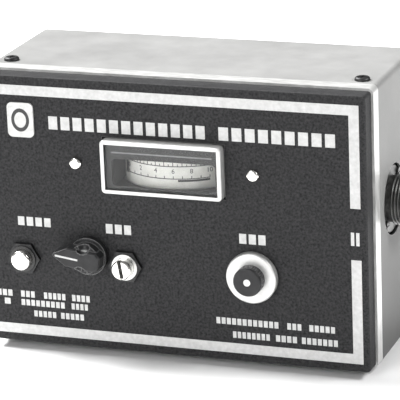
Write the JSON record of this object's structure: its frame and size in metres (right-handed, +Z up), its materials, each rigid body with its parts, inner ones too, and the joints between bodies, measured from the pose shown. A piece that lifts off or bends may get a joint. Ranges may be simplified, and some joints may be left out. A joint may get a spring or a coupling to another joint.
{
  "type": "antenna meter",
  "caption": "In-line radio power and match meter in a small folded steel case, with an edgewise meter, a bar-knob switch, a sensitivity knob, a push-button and side coaxial sockets.",
  "frame": {"origin": "middle of the overall footprint at floor level, under the feet", "axes": "+X to the right of someone facing the panel, along the coaxial line; -Y out of the front panel; +Z up"},
  "size_m": [0.149, 0.0616, 0.0922],
  "materials": {
    "black_enamel": "fine black wrinkle enamel",
    "grey_enamel": "light grey stoved enamel",
    "bright_trim": "brushed bright",
    "zinc_plate": "bright zinc plate",
    "dark_screw": "blackened",
    "dark_nickel": "tarnished nickel plate",
    "nickel": "bright nickel plate",
    "brass_plain": "plain",
    "black_plastic": "moulded phenolic",
    "knob_plastic": "polished phenolic",
    "clear_plastic": "clear acrylic",
    "white_emblem": "white enamel plate",
    "scale_white": "matt white with printed scale",
    "pointer_black": "matt black",
    "iron": "plain",
    "copper": "enamelled copper",
    "rubber_black": "moulded",
    "ptfe": "white fluoroplastic",
    "phenolic_brown": "paper phenolic",
    "board_green": "paper phenolic board",
    "resistor_tan": "lacquered",
    "wire_red": "insulation",
    "carbon": "carbon film",
    "aluminium_plain": "plain sheet"
  },
  "bodies": {
    "instrument": {"front_panel": "black_enamel", "trim_band": "bright_trim", "cover": "grey_enamel", "rear_panel": "grey_enamel", "chassis": "black_enamel", "cover_screws": "dark_screw", "rubber_feet": "rubber_black", "foot_screws": "dark_screw", "badge": "white_emblem", "meter_bezel": "bright_trim", "meter_window": "clear_plastic", "meter_mask": "pointer_black", "meter_body": "black_plastic", "meter_screws": "nickel", "movement_plate": "aluminium_plain", "meter_scale": "scale_white", "pole_yoke": "iron", "core_magnet": "iron", "top_bridge": "brass_plain", "jewel_screws": "brass_plain", "hairsprings": "brass_plain", "meter_terminals": "brass_plain", "switch_body": "zinc_plate", "switch_wafer": "phenolic_brown", "switch_posts": "zinc_plate", "switch_contacts": "brass_plain", "set_pot_body": "zinc_plate", "set_pot_track": "carbon", "shaft_nuts": "dark_screw", "bushing_nuts": "dark_screw", "cal_pot_body": "zinc_plate", "button_body": "black_plastic", "button_spring": "zinc_plate", "socket_shells": "dark_nickel", "socket_insulators": "ptfe", "socket_contacts": "brass_plain", "socket_screws": "dark_nickel", "coupler_trough": "aluminium_plain", "line_conductor": "brass_plain", "line_spacers": "ptfe", "pickup_wires": "copper", "circuit_board": "board_green", "standoffs": "brass_plain", "board_screws": "zinc_plate", "diodes": "carbon", "resistors": "resistor_tan", "wiring": "wire_red"},
    "needle": {"moving_coil": "copper", "pivot_staff": "zinc_plate", "pointer": "pointer_black"},
    "function_knob": {"switch_knob": "knob_plastic", "switch_set_screw": "dark_screw", "switch_shaft": "zinc_plate", "switch_rotor": "phenolic_brown"},
    "set_control": {"set_knob": "knob_plastic", "set_skirt": "bright_trim", "set_pot_shaft": "zinc_plate", "set_pot_wiper": "brass_plain"},
    "cal_control": {"cal_shaft": "nickel"},
    "push_button": {"button_cap": "nickel"}
  },
  "joints": [
    {"name": "needle_swing", "type": "hinge", "parent": "instrument", "child": "needle", "pos_m": [-0.0021, -0.002, 0.0637], "axis": [0, 0, 1], "range_deg": [0, 80], "stiffness_Nm_per_rad": 0.00002},
    {"name": "function_turn", "type": "hinge", "parent": "instrument", "child": "function_knob", "pos_m": [-0.0276, -0.0232, 0.0339], "axis": [0, 1, 0], "range_deg": [0, 60]},
    {"name": "set_turn", "type": "hinge", "parent": "instrument", "child": "set_control", "pos_m": [0.0259, -0.0232, 0.0309], "axis": [0, 1, 0], "range_deg": [0, 300]},
    {"name": "cal_turn", "type": "hinge", "parent": "instrument", "child": "cal_control", "pos_m": [-0.016, -0.0232, 0.0308], "axis": [0, 1, 0], "range_deg": [-135, 135]},
    {"name": "button_press", "type": "slide", "parent": "instrument", "child": "push_button", "axis": [0, 1, 0], "range_m": [0, 0.002], "stiffness_N_per_m": 600, "springref_m": -0.001, "deforming": ["button_spring"]}
  ]
}
